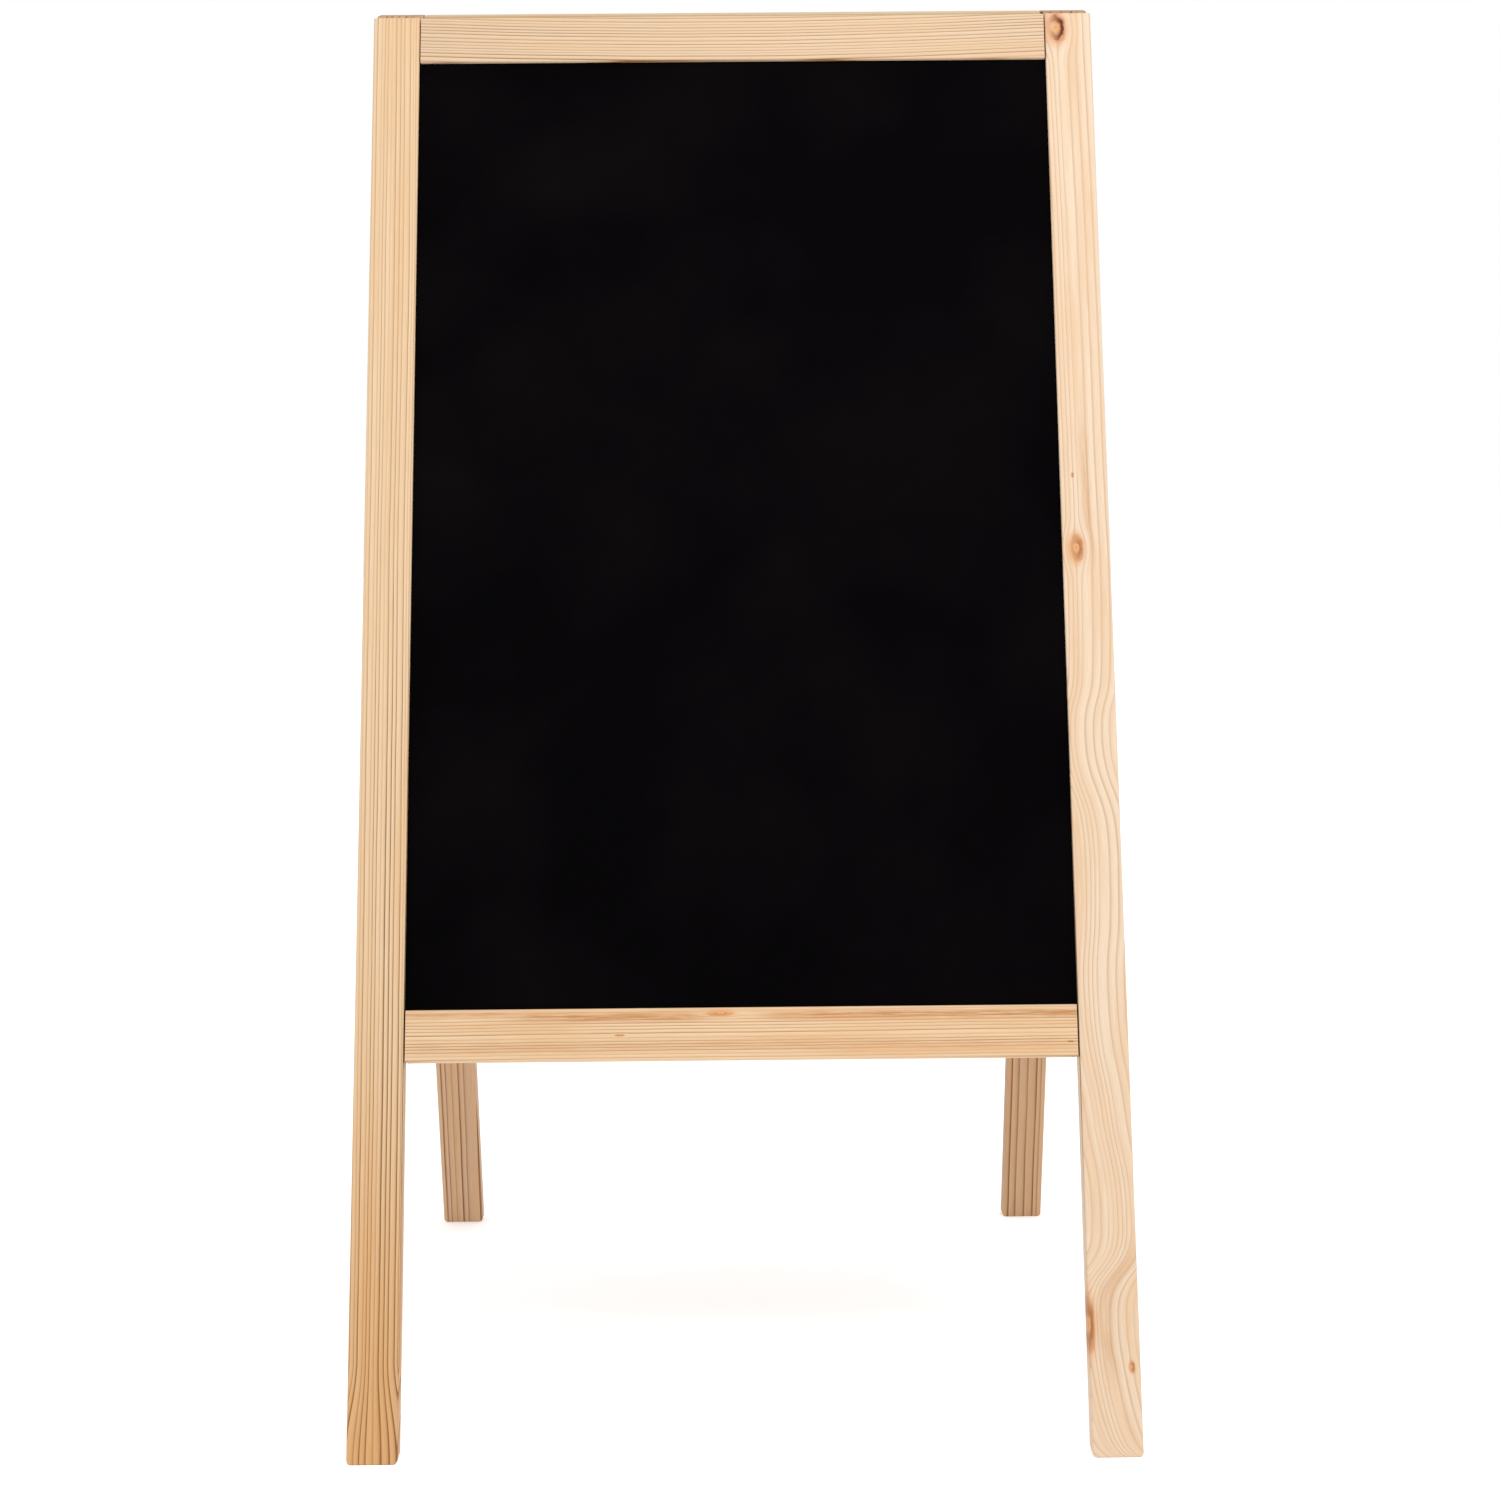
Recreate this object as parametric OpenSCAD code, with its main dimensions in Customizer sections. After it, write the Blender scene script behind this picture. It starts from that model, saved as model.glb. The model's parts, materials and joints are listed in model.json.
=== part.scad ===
// Sandwich board: two pine frames with chalkboard panels, hinged at the top and held open by two folding stays.
// Drawn standing open. Millimetres, +Z up, +X to the right, the front chalkboard faces -Y.
// The origin is on the ground in the middle of the footprint.

/* [Boards] */
// Width of each frame over its two stiles
board_w = 508; // [420:1:640]
// Length of a stile along its inner face, from the top edge to the foot
frame_l = 986; // [820:1:1150]
// Length of the legs below the bottom rail
leg_l = 250; // [150:1:330]
// Angle between the two frames when the board stands open
open_angle = 30.4; // [22:0.1:38]
// How far the rear frame stands above the hinge pins
rear_rise = 9.5; // [4:0.5:11]

/* [Timber] */
// Width of the stiles
stile_w = 32.5; // [28:0.5:45]
// Height of the top and bottom rails
rail_h = 34; // [32:0.5:50]
// Thickness of all the frame timber
timber_t = 16; // [16:0.5:22]
// Radius of the eased long edges
arris_r = 1.5; // [0.5:0.1:2.5]

/* [Chalkboards] */
// Thickness of the panel
panel_t = 3; // [2:0.5:4]
// Depth of the writing face below the face of the frame
panel_set = 2.75; // [2:0.25:4]
// Depth of the groove that holds the panel
groove_d = 8; // [5:0.5:9]
// Room between the panel and each side of its groove
panel_fit = 0.15; // [0.05:0.05:0.3]
// Room between the panel's edge and the bottom of its groove
panel_end_gap = 0.5; // [0.2:0.1:2]

/* [Dowels] */
// Diameter of a dowel
dowel_d = 6; // [5:0.5:8]
// Length of a dowel, half in the rail and half in the stile
dowel_l = 40; // [24:1:46]
// Distance from a rail's outer edge to its first dowel
dowel_edge = 7.5; // [6:0.5:10]
// Distance between the two dowels of a joint
dowel_pitch = 10.5; // [9:0.5:14]
// Room around a dowel, and beyond its end
dowel_fit = 0.05; // [0.02:0.01:0.1]

/* [Hinges] */
// Distance of each hinge from the middle of the board
hinge_x = 150; // [80:1:155]
// Length of a hinge along its pin
hinge_l = 50; // [40:1:76]
// Width of a leaf, from the pin to its free edge
leaf_w = 20; // [18:0.5:22]
// Thickness of the leaf plate
leaf_t = 1.2; // [0.8:0.1:1.4]
// Outer radius of the knuckles
knuckle_r = 2.75; // [2.5:0.05:3.5]
// Radius of the hinge pin
pin_r = 1.5; // [1:0.05:1.6]
// Running clearance around the pin
pin_fit = 0.05; // [0.02:0.01:0.1]
// Room between the knuckles, and between a knuckle and the other frame
knuckle_gap = 0.3; // [0.2:0.05:0.5]

/* [Screws] */
// Shank radius of a hinge screw
screw_r = 1.4; // [1.2:0.1:1.6]
// Head radius of a hinge screw
screw_head_r = 2.8; // [2.4:0.1:3.2]
// Length of a hinge screw
screw_l = 12; // [9:0.5:13]
// Spacing of the screws along a leaf
screw_pitch = 17; // [12:0.5:20]
// Room around a screw in its hole
screw_fit = 0.05; // [0.02:0.01:0.1]

/* [Stays] */
// Distance of the stay pivots from the hinge pins
stay_at = 240; // [180:1:320]
// Distance of the stay pivots from the inner face of the frame
stay_set = 5; // [4.5:0.1:5.4]
// Width of a stay bar
stay_w = 9; // [7:0.5:9.5]
// Thickness of a stay bar
stay_t = 1.5; // [1.2:0.1:2]
// How far each bar of an open stay is short of straight
elbow_rise = 6; // [2:1:20]
// Room between pieces that slide past each other on a stay
stay_gap = 0.3; // [0.2:0.05:0.5]
// Thickness of the washer behind a front bar
washer_t = 0.9; // [0.8:0.1:1.5]
// Radius of the spacer washers
washer_r = 4; // [3.6:0.1:4.5]
// Shank radius of a pivot screw
pivot_r = 2; // [1.6:0.1:2.2]
// Length of a pivot screw in the stile
pivot_l = 18; // [12:1:24]
// Head radius of a pivot screw
pivot_head_r = 3.6; // [3:0.1:4]
// Height of a pivot screw's head
pivot_head_h = 2.2; // [1.5:0.1:2.6]
// Running clearance of a bar on its pivot screw
pivot_fit = 0.08; // [0.03:0.01:0.1]
// Radius of the elbow rivet
rivet_r = 1.6; // [1.2:0.1:2]
// Radius of the elbow rivet's head
rivet_head_r = 3.2; // [2.6:0.1:3.6]
// Height of the rivet head, and of its flat tail
rivet_head_h = 1.4; // [1:0.1:2]
rivet_tail_h = 0.6; // [0.4:0.1:0.7]

/* [Hidden] */
$fn = 64;
pine = [0.92, 0.79, 0.6];
black = [0.06, 0.05, 0.06];
beech = [0.82, 0.66, 0.45];
zinc = [0.74, 0.75, 0.77];
steel = [0.55, 0.56, 0.58];

// The closed frames lie this far either side of the plane through the pins.
half_gap = knuckle_r + knuckle_gap;

// Both feet reach the ground at open_angle, which settles the tilt of each frame and the height of the pins.
rear_below = frame_l - rear_rise;
front_arm = norm([frame_l, half_gap]);
rear_arm = norm([rear_below, half_gap]);
front_off = atan(half_gap / frame_l);
rear_off = atan(half_gap / rear_below);
arm_angle = open_angle + front_off + rear_off;
tilt_front = atan((front_arm - rear_arm * cos(arm_angle)) / (rear_arm * sin(arm_angle))) - front_off;
tilt_rear = open_angle - tilt_front;
pin_z = front_arm * cos(tilt_front + front_off);
front_reach = (half_gap + timber_t) / cos(tilt_front) + pin_z * tan(tilt_front);
rear_reach = (half_gap + timber_t) / cos(tilt_rear) + pin_z * tan(tilt_rear);
pin_y = (front_reach - rear_reach) / 2;

rail_l = board_w - 2 * stile_w;
timber_y = -half_gap - timber_t / 2;
opening_h = frame_l - 2 * rail_h - leg_l;
bottom_rail_top = rail_h + opening_h;
groove_w = panel_t + 2 * panel_fit;
panel_y = -half_gap - timber_t + panel_set + panel_t / 2;
panel_in = groove_d - panel_end_gap;

knuckle_l = (hinge_l - 2 * knuckle_gap) / 3;
notch_z = knuckle_r + knuckle_gap;
screw_z = -(leaf_w + notch_z) / 2;

stay_y = half_gap + stay_set;
stay_l = (stay_at * sin(open_angle / 2) + stay_y * cos(open_angle / 2)) / cos(elbow_rise);
stay_turn = 90 - elbow_rise - open_angle / 2;
play = 0.1;
front_layer = washer_t + play;
rear_layer = front_layer + stay_t + stay_gap;

// ---- Places. Inside them the pin is at the origin, the frame hangs down -Z and its outside faces -Y. ----

module in_front() {
  translate([0, pin_y, pin_z])
    rotate([-tilt_front, 0, 0])
      children();
}

module in_rear() {
  translate([0, pin_y, pin_z])
    rotate([tilt_rear, 0, 0])
      mirror([0, 1, 0])
        children();
}

module ground() {
  translate([-board_w, -frame_l, -100])
    cube([2 * board_w, 2 * frame_l, 100]);
}

// ---- Timber ----

module section(w, t) {
  square([w - 2 * arris_r, t], center = true);
  square([w, t - 2 * arris_r], center = true);
  for (x = [-1, 1], y = [-1, 1])
    translate([x * (w / 2 - arris_r), y * (t / 2 - arris_r)])
      circle(r = arris_r);
}

// Two dowels on each side of a rail, grown by fit. Up is 1 at the top rail, whose first dowel is near its top edge.
module dowels(up, edge_z, fit) {
  for (side = [-1, 1], i = [0, 1])
    translate([side * rail_l / 2, timber_y, edge_z - up * (dowel_edge + i * dowel_pitch)])
      rotate([0, 90, 0])
        cylinder(r = dowel_d / 2 + fit, h = dowel_l + 2 * fit, center = true);
}

module all_dowels(top, fit) {
  dowels(1, top, fit);
  dowels(-1, top - bottom_rail_top - rail_h, fit);
}

// The ring of groove that takes the edges of the panel.
module groove(top) {
  translate([0, panel_y, top - rail_h - opening_h / 2])
    cube([rail_l + 2 * groove_d, groove_w, opening_h + 2 * groove_d], center = true);
}

module stile(side, top) {
  difference() {
    translate([side * (board_w - stile_w) / 2, timber_y, top - frame_l - timber_t])
      linear_extrude(height = frame_l + timber_t)
        section(stile_w, timber_t);
    groove(top);
    all_dowels(top, dowel_fit);
    pivot_hole(side);
  }
}

module rail(top, z) {
  difference() {
    translate([0, timber_y, top - z - rail_h / 2])
      rotate([0, 90, 0])
        linear_extrude(height = rail_l, center = true)
          section(rail_h, timber_t);
    groove(top);
    all_dowels(top, dowel_fit);
    hinge_screws(screw_fit);
  }
}

module panel(top) {
  translate([0, panel_y, top - rail_h - opening_h / 2])
    cube([rail_l + 2 * panel_in, panel_t, opening_h + 2 * panel_in], center = true);
}

// ---- Hinges. A leaf lies on the frame's inner face and carries the knuckles listed in its own slots. ----

module knuckle(slot, r) {
  translate([slot * (knuckle_l + knuckle_gap), 0, 0])
    rotate([0, 90, 0])
      cylinder(r = r, h = knuckle_l, center = true);
}

module leaf(side, own, other) {
  translate([side * hinge_x, 0, 0])
    difference() {
      union() {
        translate([-hinge_l / 2, -half_gap, -leaf_w])
          cube([hinge_l, leaf_t, leaf_w]);
        for (slot = own)
          knuckle(slot, knuckle_r);
      }
      for (slot = other)
        translate([slot * (knuckle_l + knuckle_gap), 0, 0])
          cube([knuckle_l + 2 * knuckle_gap, 4 * half_gap, 2 * notch_z], center = true);
      rotate([0, 90, 0])
        cylinder(r = pin_r + pin_fit, h = hinge_l + 2, center = true);
      leaf_screws(screw_fit);
    }
}

module hinge_pin(side) {
  translate([side * hinge_x, 0, 0])
    rotate([0, 90, 0]) {
      cylinder(r = pin_r, h = hinge_l + 1, center = true);
      for (end = [-1, 1])
        translate([0, 0, end * (hinge_l / 2 + 0.5)])
          cylinder(r = knuckle_r - 0.5, h = 0.8, center = true);
    }
}

// The screws of one leaf, grown by fit, heads flush with the leaf.
module leaf_screws(fit) {
  for (i = [-1, 0, 1])
    translate([i * screw_pitch, -half_gap + leaf_t, screw_z])
      rotate([90, 0, 0]) {
        cylinder(r1 = screw_head_r + fit, r2 = screw_r + fit, h = leaf_t);
        cylinder(r = screw_r + fit, h = screw_l + fit);
      }
}

module hinge_screws(fit) {
  for (side = [-1, 1])
    translate([side * hinge_x, 0, 0])
      leaf_screws(fit);
}

module screws_with_recess() {
  difference() {
    hinge_screws(0);
    for (side = [-1, 1], i = [-1, 0, 1], turn = [0, 90])
      translate([side * hinge_x + i * screw_pitch, -half_gap + leaf_t, screw_z])
        rotate([0, turn, 0])
          cube([0.6, 1.2, 3], center = true);
  }
}

// ---- Stays. They lie against the inner sides of the stiles; layer is a piece's distance from the stile. ----

// Turns a piece drawn along +Z into one that grows from the stile's inner side towards the middle.
module on_stile(side, layer) {
  translate([side * (rail_l / 2 - layer), -stay_y, -stay_at])
    rotate([0, -side * 90, 0])
      children();
}

module pivot_hole(side) {
  on_stile(side, -pivot_l - screw_fit)
    cylinder(r = pivot_r + screw_fit, h = pivot_l + 1);
}

// A flat bar from its pivot to its elbow, at the angle it takes when the board stands open.
module stay_bar(side, layer) {
  translate([side * (rail_l / 2 - layer - stay_t / 2), -stay_y, -stay_at])
    rotate([-stay_turn, 0, 0])
      rotate([0, 90, 0])
        difference() {
          linear_extrude(height = stay_t, center = true) {
            translate([-stay_l, -stay_w / 2])
              square([stay_l, stay_w]);
            circle(r = stay_w / 2);
            translate([-stay_l, 0])
              circle(r = stay_w / 2);
          }
          cylinder(r = pivot_r + pivot_fit, h = stay_t + 1, center = true);
          translate([-stay_l, 0, 0])
            cylinder(r = rivet_r, h = stay_t + 1, center = true);
        }
}

module at_elbow(side, layer) {
  translate([side * (rail_l / 2 - layer), -stay_y, -stay_at])
    rotate([-stay_turn, 0, 0])
      translate([0, 0, stay_l])
        rotate([0, -side * 90, 0])
          children();
}

module elbow_tail(side) {
  at_elbow(side, front_layer) {
    cylinder(r = rivet_r, h = stay_t);
    translate([0, 0, -rivet_tail_h])
      cylinder(r = rivet_head_r, h = rivet_tail_h);
  }
}

module elbow_head(side) {
  at_elbow(side, rear_layer) {
    cylinder(r = rivet_r, h = stay_t);
    translate([0, 0, stay_t])
      cylinder(r1 = rivet_head_r, r2 = rivet_head_r - rivet_head_h, h = rivet_head_h);
  }
}

module stay_screw(side, layer) {
  difference() {
    on_stile(side, -pivot_l) {
      cylinder(r = pivot_r, h = pivot_l + layer + stay_t + play);
      translate([0, 0, pivot_l + layer + stay_t + play])
        cylinder(r1 = pivot_head_r, r2 = pivot_head_r - 1, h = pivot_head_h);
    }
    for (turn = [0, 90])
      on_stile(side, layer + stay_t + play + pivot_head_h)
        rotate([0, 0, turn])
          cube([0.8, 3.6, 2], center = true);
  }
}

module stay_washer(side, layer) {
  difference() {
    on_stile(side, 0)
      cylinder(r = washer_r, h = layer - play);
    on_stile(side, -1)
      cylinder(r = pivot_r + screw_fit, h = layer + 2);
  }
}

// ---- Sub-parts ----

module front_left_stile() {
  color(pine)
    difference() {
      in_front() stile(-1, 0);
      ground();
    }
}

module front_right_stile() {
  color(pine)
    difference() {
      in_front() stile(1, 0);
      ground();
    }
}

module front_top_rail() {
  color(pine)
    in_front() rail(0, 0);
}

module front_bottom_rail() {
  color(pine)
    in_front() rail(0, bottom_rail_top);
}

module front_chalkboard() {
  color(black)
    in_front() panel(0);
}

module front_dowels() {
  color(beech)
    in_front() all_dowels(0, 0);
}

module rear_left_stile() {
  color(pine)
    difference() {
      in_rear() stile(-1, rear_rise);
      ground();
    }
}

module rear_right_stile() {
  color(pine)
    difference() {
      in_rear() stile(1, rear_rise);
      ground();
    }
}

module rear_top_rail() {
  color(pine)
    in_rear() rail(rear_rise, 0);
}

module rear_bottom_rail() {
  color(pine)
    in_rear() rail(rear_rise, bottom_rail_top);
}

module rear_chalkboard() {
  color(black)
    in_rear() panel(rear_rise);
}

module rear_dowels() {
  color(beech)
    in_rear() all_dowels(rear_rise, 0);
}

module left_hinge_front_leaf() {
  color(zinc)
    in_front() leaf(-1, [-1, 1], [0]);
}

module left_hinge_rear_leaf() {
  color(zinc)
    in_rear() leaf(-1, [0], [-1, 1]);
}

module left_hinge_pin() {
  color(steel)
    in_front() hinge_pin(-1);
}

module right_hinge_front_leaf() {
  color(zinc)
    in_front() leaf(1, [-1, 1], [0]);
}

module right_hinge_rear_leaf() {
  color(zinc)
    in_rear() leaf(1, [0], [-1, 1]);
}

module right_hinge_pin() {
  color(steel)
    in_front() hinge_pin(1);
}

module front_hinge_screws() {
  color(zinc)
    in_front() screws_with_recess();
}

module rear_hinge_screws() {
  color(zinc)
    in_rear() screws_with_recess();
}

module left_front_stay() {
  color(zinc)
    in_front() stay_bar(-1, front_layer);
}

module left_rear_stay() {
  color(zinc)
    in_rear() stay_bar(-1, rear_layer);
}

module right_front_stay() {
  color(zinc)
    in_front() stay_bar(1, front_layer);
}

module right_rear_stay() {
  color(zinc)
    in_rear() stay_bar(1, rear_layer);
}

module left_elbow_tail() {
  color(steel)
    in_front() elbow_tail(-1);
}

module left_elbow_head() {
  color(steel)
    in_rear() elbow_head(-1);
}

module right_elbow_tail() {
  color(steel)
    in_front() elbow_tail(1);
}

module right_elbow_head() {
  color(steel)
    in_rear() elbow_head(1);
}

module front_stay_screws() {
  color(zinc)
    in_front()
      for (side = [-1, 1])
        stay_screw(side, front_layer);
}

module rear_stay_screws() {
  color(zinc)
    in_rear()
      for (side = [-1, 1])
        stay_screw(side, rear_layer);
}

module front_stay_washers() {
  color(steel)
    in_front()
      for (side = [-1, 1])
        stay_washer(side, front_layer);
}

module rear_stay_washers() {
  color(steel)
    in_rear()
      for (side = [-1, 1])
        stay_washer(side, rear_layer);
}

front_left_stile();
front_right_stile();
front_top_rail();
front_bottom_rail();
front_chalkboard();
front_dowels();
rear_left_stile();
rear_right_stile();
rear_top_rail();
rear_bottom_rail();
rear_chalkboard();
rear_dowels();
left_hinge_front_leaf();
left_hinge_rear_leaf();
left_hinge_pin();
right_hinge_front_leaf();
right_hinge_rear_leaf();
right_hinge_pin();
front_hinge_screws();
rear_hinge_screws();
left_front_stay();
left_rear_stay();
right_front_stay();
right_rear_stay();
left_elbow_tail();
left_elbow_head();
right_elbow_tail();
right_elbow_head();
front_stay_screws();
rear_stay_screws();
front_stay_washers();
rear_stay_washers();
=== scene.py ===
# %% [markdown]
# # A folding sandwich board
# Two pine frames hang from a pair of butt hinges. Each holds a black chalkboard panel in a groove, and two folding
# steel stays inside keep the legs from spreading. The timber and the panels are modelled here, because their eased
# edges, end grain and growth rings are what the eye rests on. The metalwork keeps the shapes of the CAD, and only its
# edges are broken.

# %% Load the frame and keep its size
import json
import math
import bpy
import bmesh
from mathutils import Matrix, Vector


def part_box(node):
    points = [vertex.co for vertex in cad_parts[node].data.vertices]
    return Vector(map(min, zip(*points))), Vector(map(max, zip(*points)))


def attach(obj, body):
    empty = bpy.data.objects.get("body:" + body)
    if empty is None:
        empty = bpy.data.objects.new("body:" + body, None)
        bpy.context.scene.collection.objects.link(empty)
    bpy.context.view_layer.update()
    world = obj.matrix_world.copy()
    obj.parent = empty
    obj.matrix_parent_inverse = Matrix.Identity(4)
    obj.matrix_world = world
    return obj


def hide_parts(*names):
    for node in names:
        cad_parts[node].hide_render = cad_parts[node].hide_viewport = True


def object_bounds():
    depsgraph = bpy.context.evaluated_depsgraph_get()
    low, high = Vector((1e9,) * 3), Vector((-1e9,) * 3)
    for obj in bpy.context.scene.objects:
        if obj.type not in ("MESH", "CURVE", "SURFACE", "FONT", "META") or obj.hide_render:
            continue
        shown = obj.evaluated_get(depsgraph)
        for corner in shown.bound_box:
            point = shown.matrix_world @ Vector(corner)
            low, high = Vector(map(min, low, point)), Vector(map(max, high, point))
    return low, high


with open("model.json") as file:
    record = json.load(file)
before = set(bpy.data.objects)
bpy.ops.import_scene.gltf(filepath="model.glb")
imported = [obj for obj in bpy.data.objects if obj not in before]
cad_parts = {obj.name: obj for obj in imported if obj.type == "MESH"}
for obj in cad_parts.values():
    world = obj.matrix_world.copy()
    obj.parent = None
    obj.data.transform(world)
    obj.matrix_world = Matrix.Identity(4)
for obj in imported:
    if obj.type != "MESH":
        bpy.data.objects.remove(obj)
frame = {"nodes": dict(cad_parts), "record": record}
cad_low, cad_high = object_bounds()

print("CAD box", [round(c, 4) for c in cad_low], [round(c, 4) for c in cad_high])

# %% [markdown]
# ## Sizes
# Each board's length and place come from its own CAD piece. Only what a box can't tell is written here: how far a
# frame lies from the hinge pins, and how its panel sits in the groove.

# %% Sizes of the timber and the panels
MM = 0.001
HALF_GAP = 3.05 * MM         # from the hinge pin to the inner face of a frame
TIMBER_T = 16.0 * MM
FACE_Y = -HALF_GAP - TIMBER_T
GROOVE_D = 8.0 * MM
PANEL_T = 3.0 * MM
PANEL_SET = 2.75 * MM        # the writing face lies this far below the face of the frame
PANEL_FIT = 0.15 * MM
PANEL_Y = FACE_Y + PANEL_SET
GROOVE_Y = (PANEL_Y - PANEL_FIT / 2, PANEL_Y + PANEL_T + PANEL_FIT / 2)      # the groove's two walls

stile_low, stile_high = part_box("front_left_stile")
STILE_W = stile_high.x - stile_low.x
BOARD_W = cad_high.x - cad_low.x
RAIL_L = BOARD_W - 2 * STILE_W
print("stiles", round(STILE_W / MM, 2), "mm wide, rails", round(RAIL_L / MM, 2), "mm long")

# %% [markdown]
# ## Where the two frames are
# Both frames turn about the hinge pins, so every place is measured from there. A frame is drawn upright below the
# pin with its outside towards -Y, and is then tilted into place. Its tilt follows from how far its foot reaches: the
# outer face lies a known distance from the pin, and meets the ground at the reach of the stile's box.

# %% Tilt and place of each frame
joint = {j["name"]: j for j in frame["record"]["behaviour"]["joints"]}
PIN = Vector(joint["fold"]["pos_m"])
PIN.x = 0.0


def tilt_of(name):
    """How far a frame leans from upright, from the reach of its foot."""
    low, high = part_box(name)
    reach = max(PIN.y - low.y, high.y - PIN.y)
    return math.acos(-FACE_Y / math.hypot(reach, PIN.z)) - math.atan2(PIN.z, reach)


TILT = {"front": tilt_of("front_left_stile"), "rear": tilt_of("rear_left_stile")}
PLACE = {
    "front": Matrix.Translation(PIN) @ Matrix.Rotation(-TILT["front"], 4, "X"),
    "rear": Matrix.Translation(PIN) @ Matrix.Rotation(TILT["rear"], 4, "X") @ Matrix.Rotation(math.pi, 4, "Z"),
}


def along_frame(which, name):
    """Lowest and highest reach of a CAD piece along its frame, measured from the pin."""
    upright = PLACE[which].inverted()
    heights = [(upright @ v.co).z for v in frame["nodes"][name].data.vertices]
    return min(heights), max(heights)


print("tilts", {which: round(math.degrees(tilt), 2) for which, tilt in TILT.items()})

# %% [markdown]
# ## Helpers for modelling
# An operator works on whatever is selected, and the loaded metalwork starts out selected. So each piece begins by
# clearing the selection, and edges and faces are then picked by their place. A block is only a start: it is cut,
# grooved and eased in edit mode, as by hand.

# %% Start a piece, and pick its parts
NEAR = 0.02 * MM             # places nearer than this count as the same
SHARP = math.radians(60)


def block(name, low, high):
    """A cube at its real size and place, in edit mode."""
    bpy.ops.object.select_all(action="DESELECT")
    bpy.ops.mesh.primitive_cube_add(size=1, location=(Vector(low) + Vector(high)) / 2)
    obj = bpy.context.object
    obj.name = obj.data.name = name
    obj.scale = Vector(high) - Vector(low)
    bpy.ops.object.transform_apply(location=True, rotation=True, scale=True)
    bpy.ops.object.mode_set(mode="EDIT")
    return obj


def pick(obj, kind, wanted):
    """Selects the "faces" or "edges" for which wanted() is true, and nothing else."""
    bpy.ops.mesh.select_mode(type="FACE" if kind == "faces" else "EDGE")
    bpy.ops.mesh.select_all(action="DESELECT")
    mesh = bmesh.from_edit_mesh(obj.data)
    for part in getattr(mesh, kind):
        if wanted(part):
            part.select_set(True)
    bmesh.update_edit_mesh(obj.data)


def near(a, b):
    return abs(a - b) < NEAR


def sharp(edge):
    return len(edge.link_faces) == 2 and edge.calc_face_angle() > SHARP


print("edges sharper than", round(math.degrees(SHARP)), "degrees will be eased")

# %% [markdown]
# ## Easing and placing
# Sandpaper reaches the outside of a board but not its groove, so the groove's edges stay sharp. A finished piece is
# tilted into its frame with its place in the mesh, so that patterns on object coordinates keep still.

# %% Ease edges, and put a piece in its frame
SMOOTH = math.radians(30)
GROOVE_MARGIN = 0.1 * MM


def in_groove(edge):
    low, high = GROOVE_Y[0] - GROOVE_MARGIN, GROOVE_Y[1] + GROOVE_MARGIN
    return all(low < v.co.y < high for v in edge.verts)


def ease(obj, radius, steps, wanted):
    """Rounds the sharp edges for which wanted() is true."""
    pick(obj, "edges", lambda e: sharp(e) and wanted(e))
    bpy.ops.mesh.bevel(offset=radius, segments=steps, affect="EDGES")


def place(obj, which):
    """Tilts a finished piece into its frame and says what it rides on."""
    bpy.ops.object.mode_set(mode="OBJECT")
    obj.matrix_world = PLACE[which]
    bpy.ops.object.transform_apply(location=True, rotation=True, scale=True)
    bpy.ops.object.shade_smooth_by_angle(angle=SMOOTH)
    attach(obj, which + "_frame")
    print(obj.name, len(obj.data.vertices), "vertices")


print("the groove is", round((GROOVE_Y[1] - GROOVE_Y[0]) / MM, 2), "mm wide")

# %% [markdown]
# ## Stiles
# A stile is a planed bar of 32.5 by 16 mm. Its inner side has a stopped groove that takes the panel's edge, its foot
# is sawn so that it stands flat, and every edge has been eased with sandpaper. A boolean could cut the groove, but it
# leaves faces that bevel badly. Here it is a strip of the side face pushed 8 mm into the wood, which keeps the mesh
# closed and its faces few.

# %% Make the four stiles
ARRIS_R = 1.3 * MM           # long edges, eased with sandpaper
FOOT_R = 3.0 * MM            # corners of the feet, rounded so that they don't split
END_R = 0.5 * MM             # sawn ends, only broken
SPARE_L = 0.1                # a stile starts this much too long, and its foot is then sawn off


def saw_foot(which):
    """Cuts everything in edit mode off at the ground."""
    ground = PLACE[which].inverted()
    bpy.ops.mesh.select_all(action="SELECT")
    bpy.ops.mesh.bisect(plane_co=ground.translation, plane_no=ground.to_3x3() @ Vector((0, 0, -1)),
                        use_fill=True, clear_outer=True)


def cut_groove(post, inner, hand, low_z, high_z):
    """Pushes a strip of the side face at inner into the wood, from low_z to high_z."""
    cuts = [((0, 0, z), (0, 0, 1)) for z in (low_z, high_z)] + [((0, y, 0), (0, 1, 0)) for y in GROOVE_Y]
    for point, normal in cuts:
        pick(post, "faces", lambda f: near(f.calc_center_median().x, inner))
        bpy.ops.mesh.bisect(plane_co=point, plane_no=normal)
    pick(post, "faces", lambda f: near(f.calc_center_median().x, inner)
         and GROOVE_Y[0] < f.calc_center_median().y < GROOVE_Y[1] and low_z < f.calc_center_median().z < high_z)
    bpy.ops.mesh.extrude_region_move(TRANSFORM_OT_translate={"value": (hand * GROOVE_D, 0, 0)})


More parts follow.
